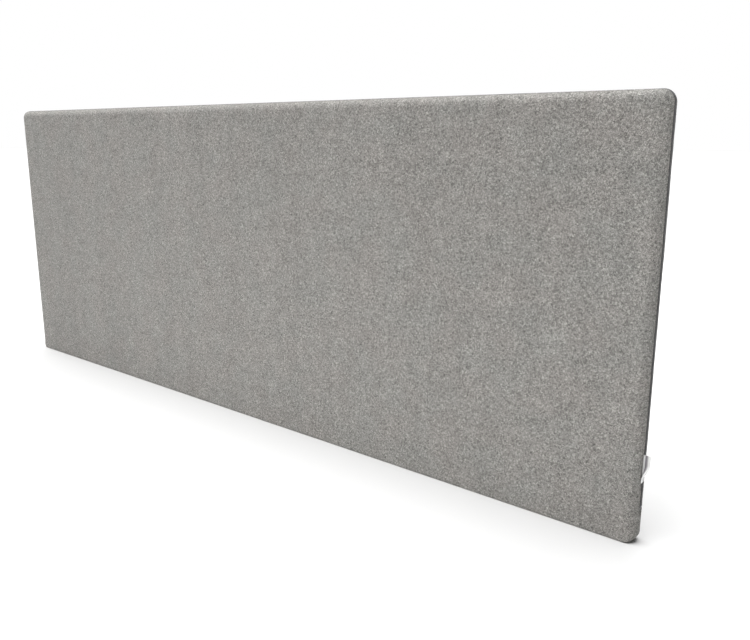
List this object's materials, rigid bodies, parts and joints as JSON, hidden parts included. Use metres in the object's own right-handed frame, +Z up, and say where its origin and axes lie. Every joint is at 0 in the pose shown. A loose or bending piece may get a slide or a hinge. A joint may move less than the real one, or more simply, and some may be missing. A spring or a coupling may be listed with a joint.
{
  "type": "acoustic divider screen",
  "caption": "Flat upright sound-absorbing screen in zipped felt over a padded frame, with rounded corners and threaded inserts underneath for desk brackets.",
  "frame": {"origin": "middle of the underside, in the screen's middle plane, on the surface that it stands on", "axes": "+X along the width to the end with the label, -Y out of the pictured face, +Z up"},
  "size_m": [1.6146, 0.03, 0.5998],
  "materials": {
    "felt": "matte",
    "ribbon": "satin",
    "zip_tape": "matte",
    "zip_coil": "satin",
    "zip_metal": "satin",
    "wadding": "matte",
    "foam": "matte",
    "softwood": "matte",
    "beech": "matte",
    "hardboard": "matte",
    "absorber": "matte",
    "zinc_steel": "satin"
  },
  "bodies": {
    "panel": {"cover_front": "felt", "cover_back": "felt", "care_label": "ribbon", "zip_tape_front": "zip_tape", "zip_tape_back": "zip_tape", "zip_coil_front": "zip_coil", "zip_coil_back": "zip_coil", "zip_top_stops": "zip_metal", "zip_bottom_stop": "zip_metal", "wadding_front": "wadding", "wadding_back": "wadding", "edge_foam_left": "foam", "edge_foam_top": "foam", "edge_foam_right": "foam", "frame_top_rail": "softwood", "frame_bottom_rail": "softwood", "frame_left_stile": "softwood", "frame_right_stile": "softwood", "frame_centre_stile": "softwood", "frame_dowels": "beech", "septum_left": "hardboard", "septum_right": "hardboard", "bat_front_left": "absorber", "bat_front_right": "absorber", "bat_back_left": "absorber", "bat_back_right": "absorber", "bracket_inserts": "zinc_steel"},
    "slider": {"zip_slider": "zip_metal"},
    "pull": {"zip_pull": "zip_metal"}
  },
  "joints": [
    {"name": "zip_slide", "type": "slide", "parent": "panel", "child": "slider", "axis": [0, 0, 1], "range_m": [0, 0.5]},
    {"name": "pull_swing", "type": "hinge", "parent": "slider", "child": "pull", "pos_m": [-0.8027, 0, 0.063], "axis": [0, 1, 0], "range_deg": [0, 175]}
  ]
}
